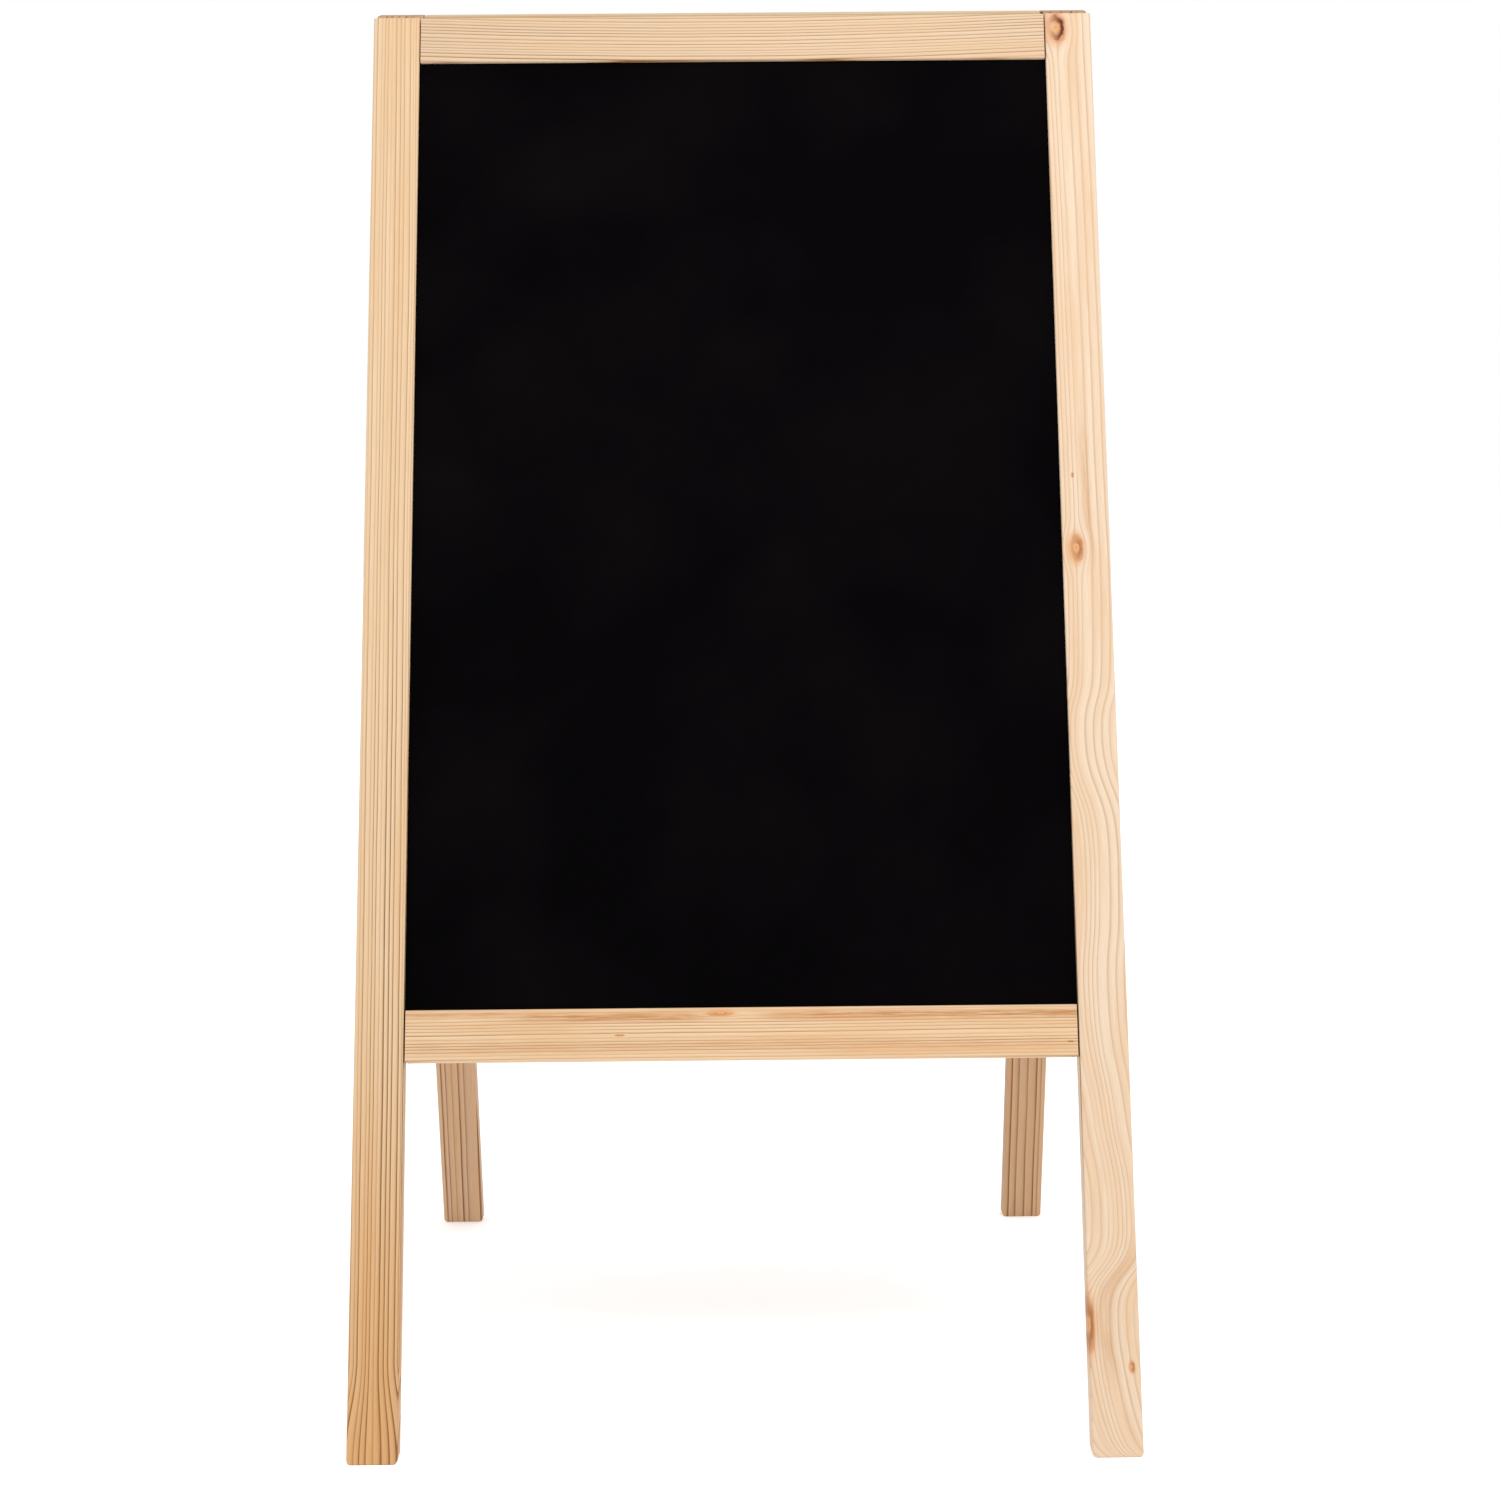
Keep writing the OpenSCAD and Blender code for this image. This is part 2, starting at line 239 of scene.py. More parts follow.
def stile(which, side):
    """side is -1 for the left one and 1 for the right one."""
    name = f"{which}_{'left' if side < 0 else 'right'}_stile"
    hand = side if which == "front" else -side          # the rear frame is turned round
    inner, outer = hand * (BOARD_W / 2 - STILE_W), hand * BOARD_W / 2
    low_z, top = along_frame(which, name)
    post = block("pine_" + name, (min(inner, outer), FACE_Y, low_z - SPARE_L), (max(inner, outer), -HALF_GAP, top))
    saw_foot(which)
    cut_groove(post, inner, hand, *along_frame(which, which + "_chalkboard"))

    ease(post, FOOT_R, 5, lambda e: max(v.co.z for v in e.verts) < low_z / 2
         and near(e.verts[0].co.x, e.verts[1].co.x) and abs(e.verts[0].co.y - e.verts[1].co.y) > 1 * MM)
    ease(post, ARRIS_R, 4, lambda e: not all(near(v.co.z, top) for v in e.verts) and not in_groove(e))
    ease(post, END_R, 2, lambda e: all(near(v.co.z, top) for v in e.verts))
    place(post, which)
    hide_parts(name)
    return post


stiles = {(which, side): stile(which, side) for which in ("front", "rear") for side in (-1, 1)}

# %% [markdown]
# ## Rails
# A rail is 34 mm high and butts between the stiles on hidden dowels, with a dark line at each joint. Its groove runs
# right through, so it is drawn as a section first: one end face of a block, with a notch cut out of it, pulled out to
# the rail's length.

# %% Make the four rails
JOINT_GAP = 0.7 * MM         # the dark line where a rail meets a stile


def notched_end(bar, panel_side, low_z, high_z):
    """Keeps only the left end face of a block, with the groove's notch cut out of it."""
    pick(bar, "faces", lambda f: f.normal.x > -0.5)
    bpy.ops.mesh.delete(type="FACE")
    bottom = (low_z if panel_side < 0 else high_z) - panel_side * GROOVE_D
    for point, normal in [((0, y, 0), (0, 1, 0)) for y in GROOVE_Y] + [((0, 0, bottom), (0, 0, 1))]:
        bpy.ops.mesh.select_all(action="SELECT")
        bpy.ops.mesh.bisect(plane_co=point, plane_no=normal)
    pick(bar, "faces", lambda f: GROOVE_Y[0] < f.calc_center_median().y < GROOVE_Y[1]
         and (f.calc_center_median().z - bottom) * panel_side > 0)
    bpy.ops.mesh.delete(type="FACE")


def pull_out(length):
    """Turns the section into a closed bar."""
    bpy.ops.mesh.select_all(action="SELECT")
    bpy.ops.mesh.extrude_region_move(TRANSFORM_OT_translate={"value": (length, 0, 0)})
    bpy.ops.mesh.select_all(action="SELECT")
    bpy.ops.mesh.normals_make_consistent(inside=False)
    bpy.ops.mesh.dissolve_limited(angle_limit=math.radians(1))


def rail(which, name, panel_side):
    """panel_side is -1 where the panel lies below the rail and 1 where it lies above."""
    low_z, high_z = along_frame(which, name)
    half = RAIL_L / 2 - JOINT_GAP
    bar = block("pine_" + name, (-half, FACE_Y, low_z), (half, -HALF_GAP, high_z))
    notched_end(bar, panel_side, low_z, high_z)
    pull_out(2 * half)
    ease(bar, ARRIS_R, 4, lambda e: not in_groove(e) and abs(e.verts[0].co.x - e.verts[1].co.x) > half)
    ease(bar, END_R, 2, lambda e: not in_groove(e) and near(e.verts[0].co.x, e.verts[1].co.x))
    place(bar, which)
    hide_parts(name)
    return bar


rails = {}
for which in ("front", "rear"):
    rails[which, "top"] = rail(which, which + "_top_rail", -1)
    rails[which, "bottom"] = rail(which, which + "_bottom_rail", 1)

# %% [markdown]
# ## Colours and nodes
# Colours are picked as they look on a screen, and one function turns them into the linear light that the renderer
# works in. One helper adds every shader node.

# %% Shader helpers


def srgb(code):
    """A colour such as "f3d6ae" as linear light."""
    parts = [int(code[i:i + 2], 16) / 255 for i in (0, 2, 4)]
    return [c / 12.92 if c <= 0.04045 else ((c + 0.055) / 1.055) ** 2.4 for c in parts] + [1.0]


def node(tree, kind, inputs=(), out=0, points=None, **settings):
    """Adds a node, applies its settings and fills its inputs: sockets are linked, other values are set. points are
    the (place, grey) stops of a ramp, or the (place, height) points of a drawn curve."""
    made = tree.nodes.new("ShaderNode" + kind)
    for key, value in settings.items():
        setattr(made, key, value)
    for key, value in (inputs.items() if isinstance(inputs, dict) else enumerate(inputs)):
        if isinstance(value, bpy.types.NodeSocket):
            tree.links.new(value, made.inputs[key])
        else:
            made.inputs[key].default_value = value
    if points and kind == "ValToRGB":
        stops = made.color_ramp.elements
        for spot, _ in points[1:-1]:
            stops.new(spot)
        for stop, (spot, grey) in zip(stops, points):
            stop.position = spot
            stop.color = (grey, grey, grey, 1)
    elif points:
        line = made.mapping.curves[0]
        for spot, height in points[1:-1]:
            line.points.new(spot, height)
        line.points[0].location, line.points[-1].location = points[0], points[-1]
        made.mapping.update()
    return made.outputs[out]


def new_material(name, **values):
    """A material with constant values on its shader's own sockets."""
    made = bpy.data.materials.new(name)
    made.use_nodes = True
    shader = made.node_tree.nodes["Principled BSDF"]
    for key, value in values.items():
        shader.inputs[key.replace("_", " ")].default_value = value
    return made, made.node_tree, shader


print("middle grey is", round(srgb("808080")[0], 3), "in linear light")

# %% [markdown]
# ## Pine: coordinates along the board
# The frames are bare pine, planed and sanded. An image of wood would show its seams at every edge, so the pattern is
# worked out in three dimensions, in millimetres along each board: across the face, into the depth and along the
# length. Rings, streaks and knots then run through the board and come out on every side where they should.

# %% Coordinates along a board
OBJECT, NORMAL = 3, 1        # sockets of the Texture Coordinate node


def board_axes(which, at, along):
    """The place and turn of a board whose length runs along the given way."""
    inward = Vector((0, 1, 0))
    across = inward.cross(Vector(along))
    turn = Matrix((across, inward, Vector(along))).transposed().to_4x4()
    return PLACE[which] @ Matrix.Translation(at) @ turn


def stile_axes(which, side):
    """Measured from the pin's height: everything on a stile has a negative place along."""
    hand = side if which == "front" else -side
    return board_axes(which, (hand * (BOARD_W - STILE_W) / 2, FACE_Y, 0), (0, 0, 1))


def rail_axes(which, name):
    """Measured from the rail's middle: across runs down, and along runs to the right."""
    low_z, high_z = along_frame(which, name)
    return board_axes(which, (0, FACE_Y, (low_z + high_z) / 2), (1, 0, 0))


def board_point(tree, axes):
    """The shaded point in mm along the board's own axes."""
    return node(tree, "Mapping", [node(tree, "TexCoord", out=OBJECT), axes.translation, axes.to_euler(),
                                  (MM, MM, MM)], vector_type="TEXTURE")


print("left stile's axis starts at", [round(c, 3) for c in stile_axes("front", -1).translation])

# %% [markdown]
# ## Pine: knots push the grain aside
# A knot is the stump of a branch that went right through the board. The trunk grew round it, so the lines bend away
# on both sides. Each point near a knot is moved as the grain was, more the nearer it is.

# %% Grain round a knot
KNOT_DEPTH = 60.0            # mm; a branch changes little through the thickness of a board
KNOT_REACH = 3.4             # the grain is pushed out to this many times the knot's half size


def knot(across, along, half_w, half_h, push, dark):
    """A knot's place and half sizes in mm, how hard it pushes the grain, and how dark its bark is."""
    return {"across": across, "along": along, "half_w": half_w, "half_h": half_h, "push": push, "dark": dark}


def push_grain(tree, point, bent, mark):
    """Bends the grain round a knot. Also returns how far the knot is, 1 at its rim, how far to the side, and the
    point as seen from the knot."""
    offset = node(tree, "VectorMath", [point, (mark["across"], 0, mark["along"])], operation="SUBTRACT")
    scaled = node(tree, "VectorMath", [offset, (mark["half_w"], KNOT_DEPTH, mark["half_h"])], operation="DIVIDE")
    far = node(tree, "VectorMath", [scaled], operation="LENGTH", out=1)
    side = node(tree, "SeparateXYZ", [offset])
    reach = node(tree, "MapRange", [far, 0.0, KNOT_REACH, mark["push"], 0.0], interpolation_type="SMOOTHERSTEP")
    pushed = node(tree, "Math", [side, reach], operation="MULTIPLY")
    return node(tree, "Math", [bent, pushed], operation="SUBTRACT"), far, side, scaled


print("a knot bends the grain out to", KNOT_REACH, "times its size")

# %% [markdown]
# ## Pine: grain that wanders
# A trunk is never straight. A drawn curve gives a board its own sweep, two noises stretched along the board add a
# broad wave and a fine tremble, and near a foot that was cut from the butt of the tree the lines spread.

# %% Grain that wanders
SWEEP_RANGE = 100.0          # mm; the drawn curve runs from 0 to 1, which stands for -50 to 50 mm


def sweep_grain(tree, along, bent, points):
    """Shifts the lines across the board by a curve through (along, shift) points in mm."""
    low, high = points[0][0], points[-1][0]
    run = node(tree, "MapRange", [along, low, high, 0.0, 1.0])
    curve = [((at - low) / (high - low), 0.5 + shift / SWEEP_RANGE) for at, shift in points]
    shift = node(tree, "FloatCurve", {"Value": run}, points=curve)
    shift = node(tree, "Math", [shift, SWEEP_RANGE, -SWEEP_RANGE / 2], operation="MULTIPLY_ADD")
    return node(tree, "Math", [bent, shift], operation="SUBTRACT")


def waver(tree, point, bent, seed, size, stretch, amount):
    """Moves the lines by up to half of amount, in waves size mm wide and stretch times as long."""
    spot = node(tree, "VectorMath", [point, (1 / size, 1 / size, 1 / size / stretch)], operation="MULTIPLY")
    spot = node(tree, "VectorMath", [spot, (seed, seed, 0)], operation="ADD")
    noise = node(tree, "TexNoise", {"Vector": spot, "Scale": 1.0, "Detail": 2.0, "Roughness": 0.5})
    moved = node(tree, "Math", [noise, -0.5], operation="ADD")
    return node(tree, "Math", [moved, amount, bent], operation="MULTIPLY_ADD")


def spread_grain(tree, along, bent, start, end, times):
    """Spreads the lines, from as they are at start to so many times as wide at end."""
    spread = node(tree, "MapRange", [along, start, end, 1.0, times], interpolation_type="SMOOTHSTEP")
    return node(tree, "Math", [bent, spread], operation="DIVIDE")


print("a sweep can reach", SWEEP_RANGE / 2, "mm to each side")

# %% [markdown]
# ## Pine: growth rings
# Each year the tree lays down pale earlywood that darkens slowly to a line of amber latewood, and then starts again.
# The rings are circles about a pith that runs beside or behind the board. Where the face crosses them squarely the
# lines are straight and tight; where it only grazes them they open into flames. Years differ in width and in how dark
# they end, so the radius is read through a noise, and each year gets its own strength.

# %% Rings about the pith
RUN_PER_MM = 0.09            # good and bad years come in runs about 11 mm long
RUN_YEARS = 3.0              # years that such a run can add
ONE_YEAR = [(0.0, 0.3), (0.06, 0.02), (0.5, 0.1), (0.76, 0.38), (0.88, 1.0), (0.95, 0.9), (1.0, 0.3)]
FAINTEST, DIFFERENCE = 0.35, 0.65      # the faintest year's line, and how much more the darkest has


def growth_rings(tree, bent, depth, along, seed, pith, ring, taper, contrast):
    """How much latewood there is, 0 to 1. pith is (across, depth) in mm, ring a year's width in mm, and taper how
    many mm the rings shift per metre of length."""
    u = node(tree, "Math", [bent, pith[0]], operation="SUBTRACT")
    w = node(tree, "Math", [depth, pith[1]], operation="SUBTRACT")
    away = node(tree, "CombineXYZ", [u, w, 0.0])
    radius = node(tree, "VectorMath", [away], operation="LENGTH", out=1)
    radius = node(tree, "Math", [along, taper / 1000, radius], operation="MULTIPLY_ADD")
    run = node(tree, "Math", [radius, RUN_PER_MM, seed], operation="MULTIPLY_ADD")
    uneven = node(tree, "TexNoise", {"Vector": node(tree, "CombineXYZ", [run, seed, 0.0]), "Scale": 1.0,
                                     "Detail": 1.0})
    years = node(tree, "Math", [radius, 1 / ring], operation="MULTIPLY")
    years = node(tree, "Math", [uneven, RUN_YEARS, years], operation="MULTIPLY_ADD")
    line = node(tree, "ValToRGB", [node(tree, "Math", [years], operation="FRACT")], points=ONE_YEAR)
    which = node(tree, "Math", [years], operation="FLOOR")
    strength = node(tree, "TexWhiteNoise", {"W": node(tree, "Math", [which, seed], operation="ADD")},
                    noise_dimensions="1D")
    strength = node(tree, "Math", [strength, DIFFERENCE * contrast, FAINTEST * contrast], operation="MULTIPLY_ADD")
    return node(tree, "Math", [line, strength], operation="MULTIPLY")


print("one year is drawn with", len(ONE_YEAR), "stops")

# %% [markdown]
# ## Pine: honey patches and streaks
# Resin is spread unevenly. Broad patches are honey-coloured with fainter lines, and here and there a run of resin
# leaves an orange streak with a feathered edge. Both are noises stretched far along the board.

# %% Patches and streaks of resin
PATCH_PER_MM = (0.11, 0.05, 0.006)     # patches about 9 mm wide, 20 mm deep and 170 mm long
FEATHER_PER_MM = (0.9, 0.9, 0.035)     # feathers about 1 mm wide and 30 mm long
STREAK_END = 40.0                      # mm over which a streak fades at its ends


def resin_patches(tree, spot, seed):
    slow = node(tree, "VectorMath", [spot, PATCH_PER_MM], operation="MULTIPLY")
    slow = node(tree, "VectorMath", [slow, (seed + 7, seed, 0)], operation="ADD")
    return node(tree, "TexNoise", {"Vector": slow, "Scale": 1.0, "Detail": 3.0, "Roughness": 0.6})


def add_streak(tree, wood, spot, bent, along, colour, across, half_w, start, stop, strength):
    """Paints a streak of the colour along the line at across, from start to stop, all in mm."""
    off = node(tree, "Math", [bent, across], operation="SUBTRACT")
    off = node(tree, "Math", [off], operation="ABSOLUTE")
    band = node(tree, "MapRange", [off, 0.0, half_w, strength, 0.0], interpolation_type="SMOOTHSTEP")
    begins = node(tree, "MapRange", [along, start, start + STREAK_END, 0.0, 1.0], interpolation_type="SMOOTHSTEP")
    ends = node(tree, "MapRange", [along, stop - STREAK_END, stop, 1.0, 0.0], interpolation_type="SMOOTHSTEP")
    feathers = node(tree, "VectorMath", [spot, FEATHER_PER_MM], operation="MULTIPLY")
    feathers = node(tree, "TexNoise", {"Vector": feathers, "Scale": 1.0, "Detail": 4.0, "Roughness": 0.7})
    feathers = node(tree, "MapRange", [feathers, 0.38, 0.6, 0.3, 1.0])
    for part in (begins, ends, feathers):
        band = node(tree, "Math", [band, part], operation="MULTIPLY")
    return node(tree, "Mix", {0: band, 6: wood, 7: srgb(colour)}, data_type="RGBA", out=2)


print("patches are about", [round(1 / p) for p in PATCH_PER_MM], "mm")

# %% [markdown]
# ## Pine: fibres and end grain
# A pine fibre is 0.04 mm wide, too fine to show from here, so the fibres are drawn 0.45 mm wide and 20 mm long. They
# break up the colour, and give the sanded face its faint tooth. End grain drinks in dirt and oil, so wherever the
# surface faces along the board the wood is darkened. On the rails and the rear stiles the end colour is darker or
# greyer still, as painted shade.

# %% Fibres and end grain
FIBRE_PER_MM = (2.2, 2.2, 0.05)


def draw_fibres(tree, spot):
    thin = node(tree, "VectorMath", [spot, FIBRE_PER_MM], operation="MULTIPLY")
    return node(tree, "TexNoise", {"Vector": thin, "Scale": 1.0, "Detail": 3.0, "Roughness": 0.65})


def shade_fibres(tree, wood, fibre):
    shade = node(tree, "MapRange", [fibre, 0.3, 0.7, 0.93, 1.05])
    return node(tree, "Mix", {0: 1.0, 6: wood, 7: shade}, data_type="RGBA", blend_type="MULTIPLY", out=2)


def darken_ends(tree, wood, axes, colour):
    facing = node(tree, "VectorMath", [node(tree, "TexCoord", out=NORMAL), axes.col[2].xyz],
                  operation="DOT_PRODUCT", out=1)
    facing = node(tree, "Math", [facing], operation="ABSOLUTE")
    cut = node(tree, "MapRange", [facing, 0.6, 0.85, 0.0, 0.6], interpolation_type="SMOOTHSTEP")
    return node(tree, "Mix", {0: cut, 6: wood, 7: srgb(colour)}, data_type="RGBA", blend_type="MULTIPLY", out=2)


print("fibres are drawn", round(1 / FIBRE_PER_MM[0], 2), "mm wide")

# %% [markdown]
# ## Pine: the colours of a knot
# A knot shows its own rings end on, orange-brown, inside a dark line of bark. The bark is thick on one side only,
# because the branch leaned. The wood around it is stained with resin.

# %% Colours of a knot
KNOT_STAIN, KNOT_PALE, KNOT_DARK, KNOT_BARK = "c08046", "c98f58", "8c4a1c", "541c04"
BARK_LINE = [(0.0, 0.0), (0.45, 0.0), (0.5, 1.0), (0.63, 1.0), (0.7, 0.0)]     # over twice the knot's size


def paint_knot(tree, wood, mark, far, side, scaled):
    """far, side and scaled are what push_grain() returned for this knot."""
    # resin stains the wood around it, out to twice its size
    stain = node(tree, "MapRange", [far, 0.9, 2.0, 0.55, 0.0], interpolation_type="SMOOTHSTEP")
    wood = node(tree, "Mix", {0: stain, 6: wood, 7: srgb(KNOT_STAIN)}, data_type="RGBA", out=2)
    # its own rings, pulled out of round by a noise
    swirl = node(tree, "TexNoise", {"Vector": scaled, "Scale": 1.3, "Detail": 2.0})
    turned = node(tree, "Math", [swirl, 0.7, far], operation="MULTIPLY_ADD")
    ring = node(tree, "Math", [turned, 0.3], operation="PINGPONG")
    ring = node(tree, "MapRange", [ring, 0.05, 0.28, 0.0, 0.8])
    heart = node(tree, "Mix", {0: ring, 6: srgb(KNOT_PALE), 7: srgb(KNOT_DARK)}, data_type="RGBA", out=2)
    leaning = node(tree, "MapRange", [side, -0.7 * mark["half_w"], 0.6 * mark["half_w"], 0.12, 1.0])
    inside = node(tree, "MapRange", [turned, 1.2, 1.75, 0.9, 0.0], interpolation_type="SMOOTHSTEP")
    inside = node(tree, "Math", [inside, leaning], operation="MULTIPLY")
    wood = node(tree, "Mix", {0: inside, 6: wood, 7: heart}, data_type="RGBA", out=2)
    # the bark on the side that the branch leaned to
    line = node(tree, "ValToRGB", [node(tree, "Math", [turned, 0.5], operation="MULTIPLY")], points=BARK_LINE)
    bark = node(tree, "Math", [line, leaning], operation="MULTIPLY")
    bark = node(tree, "Math", [bark, mark["dark"]], operation="MULTIPLY")
    return node(tree, "Mix", {0: bark, 6: wood, 7: srgb(KNOT_BARK)}, data_type="RGBA", out=2)


print("bark lies", 2 * BARK_LINE[1][0], "to", 2 * BARK_LINE[-1][0], "times the knot's half size from its middle")

# %% [markdown]
# ## Pine: put together
# First the grain is bent, then the rings are laid on it, and then the colours go on in the order in which they lie in
# the wood: cream and honey, streaks, latewood, fibres, knots, end grain. Sanded bare pine scatters light, so its
# roughness is high and its sheen weak. Latewood is harder than earlywood and stands a hair proud after sanding, which
# the bump gives.

# %% The finished pine material
WAVE = (60.0, 4.0, 2.0)      # a broad wave: width in mm, stretch along the board, and mm of movement
TREMBLE = (14.0, 5.0, 0.45)  # a fine one, given the same way
PROUD_H = 0.12 * MM          # how much the surface rises and falls between earlywood, latewood and fibres


def bend_grain(tree, point, seed, drift, wave, knots, flare):
    """Returns across as the grain is bent, depth, along, and what push_grain() says about each knot."""
    across, depth, along = node(tree, "SeparateXYZ", [point]).node.outputs
    bent, marks = across, []
    for mark in knots:
        bent, *seen = push_grain(tree, point, bent, mark)
        marks.append((mark, *seen))
    if drift:
        bent = sweep_grain(tree, along, bent, drift)
    for size, stretch, amount in (WAVE, TREMBLE):
        bent = waver(tree, point, bent, seed, size, stretch, amount * wave)
    if flare:
        bent = spread_grain(tree, along, bent, *flare)
    return bent, depth, along, marks


def pine(name, axes, seed, pith, ring, early, late, honey, honey_share=0.5, contrast=1.0, taper=3.0, drift=(),
         wave=1.5, knots=(), foot=None, flare=None, streaks=(), streak="ad7643", fade=None, end="c0915f"):
    """One board's pine. foot is (start, end, how much) more honey towards the foot, and fade is (start, end, times)
    stronger lines."""
    made, tree, shader = new_material(name, Roughness=0.55, IOR=1.5, Specular_IOR_Level=0.25)
    point = board_point(tree, axes)
    bent, depth, along, marks = bend_grain(tree, point, seed, drift, wave, knots, flare)
    spot = node(tree, "CombineXYZ", [bent, depth, along])

    patch = resin_patches(tree, spot, seed)
    latewood = growth_rings(tree, bent, depth, along, seed, pith, ring, taper, contrast)
    if fade:
        stronger = node(tree, "MapRange", [along, fade[0], fade[1], 1.0, fade[2]], interpolation_type="SMOOTHSTEP")
        latewood = node(tree, "Math", [latewood, stronger], operation="MULTIPLY")
    lively = node(tree, "MapRange", [patch, 0.35, 0.68, 1.2, 0.6])          # fainter lines in honey patches
    latewood = node(tree, "Math", [latewood, lively], operation="MULTIPLY")

    resin = node(tree, "MapRange", [patch, 0.35, 0.72, 0.0, honey_share], interpolation_type="SMOOTHSTEP")
    if foot:
        low_down = node(tree, "MapRange", [along, foot[0], foot[1], 0.0, foot[2]], interpolation_type="SMOOTHSTEP")
        resin = node(tree, "Math", [resin, low_down], operation="ADD", use_clamp=True)
    wood = node(tree, "Mix", {0: resin, 6: srgb(early), 7: srgb(honey)}, data_type="RGBA", out=2)
    for where in streaks:
        wood = add_streak(tree, wood, spot, bent, along, streak, *where)
    wood = node(tree, "Mix", {0: latewood, 6: wood, 7: srgb(late)}, data_type="RGBA", out=2)
    fibre = draw_fibres(tree, spot)
    wood = shade_fibres(tree, wood, fibre)
    for mark, *seen in marks:
        wood = paint_knot(tree, wood, mark, *seen)
    tree.links.new(darken_ends(tree, wood, axes, end), shader.inputs["Base Color"])

    proud = node(tree, "Math", [latewood, 0.4], operation="MULTIPLY")
    height = node(tree, "Math", [fibre, -0.4, proud], operation="MULTIPLY_ADD")
    bump = node(tree, "Bump", {"Strength": 0.25, "Distance": PROUD_H, "Height": height})
    tree.links.new(bump, shader.inputs["Normal"])
    print(name, len(tree.nodes), "nodes")
    return made


print("a broad wave", WAVE[0], "mm wide and a tremble", TREMBLE[0], "mm wide")

# %% [markdown]
# ## Cut the front stiles from the tree
# The left stile is cut square to the rings, so it shows tight straight lines that grow darker towards the foot, where
# they spread. The right one is cut flat, with the pith behind its face: its lines swing across the board, and it has
# the knots, the largest of them at the very top.

# %% Pine of the front stiles
HONEY = "c19462"
pines = {}
pines["front", -1] = pine(
    "pine_quarter_sawn_left", stile_axes("front", -1), seed=1.7, pith=(-140, 30), ring=2.6, early="ceb391",
    late="7d5226", honey=HONEY, honey_share=0.4, contrast=0.74, wave=1.2, fade=(-300, -850, 1.8),
    foot=(-660, -980, 0.85), flare=(-925, -990, 1.7))

# The swing of the right stile's lines, as (along, across) in mm from the foot up.
SWING = [(-992, 30), (-935, 6), (-900, 3), (-848, 26), (-775, 18), (-690, 8.6), (-640, 12), (-590, 12), (-520, -1.3),
         (-480, 5), (-287, 5), (0, 0)]
RIGHT_KNOTS = [
    knot(across=-9.0, along=-11.4, half_w=6.5, half_h=9.5, push=0.85, dark=1.0),
    knot(across=-7.0, along=-392.3, half_w=4.5, half_h=8, push=0.9, dark=0.45),
    knot(across=-8.0, along=-340.6, half_w=0.8, half_h=1.4, push=0.6, dark=0.8),
    knot(across=10.5, along=-934.5, half_w=1.6, half_h=3, push=0.7, dark=0.5),
    knot(across=-17.0, along=-908, half_w=4.0, half_h=15, push=0.5, dark=0.5),
]
pines["front", 1] = pine(
    "pine_flat_sawn_right", stile_axes("front", 1), seed=4.3, pith=(38, 50), ring=3.1, early="d0bba3",
    late="9c6e3b", honey=HONEY, honey_share=0.4, contrast=0.64, wave=1.6, drift=SWING, knots=RIGHT_KNOTS,
    streaks=[(-5, 5, -425, -290, 0.55), (-9, 10, -960, -840, 0.5)])

# %% [markdown]
# ## Cut the front rails
# Both rails show fine lines in a shallow curve. The bottom one has a long orange streak of resin below its upper
# edge, broken by a small eye, and two pin knots.

# %% Pine of the front rails
# the end colour "6b4325" is far darker than the stiles' and shows only on the rail ends inside the joints: darker end
# grain, and painted shade of the narrow gap
pines["front", "top"] = pine(
    "pine_top_rail", rail_axes("front", "front_top_rail"), seed=2.2, pith=(-150, 60), ring=2.3, early="c8b094",
    late="8d6437", honey=HONEY, honey_share=0.3, contrast=1.1, wave=0.9, end="6b4325",
    drift=[(-221, -3), (-100, 0.8), (0, 2), (100, 1), (221, -2.5)])
pines["front", "bottom"] = pine(
    "pine_bottom_rail", rail_axes("front", "front_bottom_rail"), seed=6.1, pith=(-40, 30), ring=1.9, early="d2b694",
    late="92632f", honey="c08f5e", honey_share=0.45, contrast=1.0, wave=1.0, end="6b4325",
    knots=[knot(across=0.5, along=-80, half_w=0.7, half_h=2.6, push=0.8, dark=0.35),
           knot(across=-13.2, along=-14, half_w=1.6, half_h=7, push=0.8, dark=0.1),
           knot(across=7.2, along=216, half_w=0.6, half_h=1.4, push=0.7, dark=0.9)],
    streaks=[(-13.5, 3.5, -260, -130, 0.7), (-11, 5.5, -165, -8, 1.0), (-11.5, 5, 2, 262, 1.0),
             (8, 9, -240, 240, 0.35)])

# %% [markdown]
# ## Cut the rear frame
# Makers keep the best boards for the front. The rear stiles come from younger, faster wood, with wide years and dark
# latewood. Their earlywood is also darker than the front's, the right one darker still, and their end grain is greyed:
# this is painted shade, for the shadow that the boards cast on the rear legs. The rear top rail's earlywood is greyed
# as painted shade too.

# %% Pine of the rear frame
# painted shade: the earlywood "c8a685" and "bb9977" is darker than the front stiles', the right one more, and the grey
# end colour "aaa48c" stands in for the shade on the rear legs
pines["rear", -1] = pine(
    "pine_rear_left", stile_axes("rear", -1), seed=8.4, pith=(-50, 40), ring=4.8, early="c8a685", late="7d4c24",
    honey=HONEY, contrast=1.6, end="aaa48c")
pines["rear", 1] = pine(
    "pine_rear_right", stile_axes("rear", 1), seed=9.9, pith=(60, 50), ring=5.0, early="bb9977", late="784721",
    honey=HONEY, contrast=1.6, end="aaa48c")
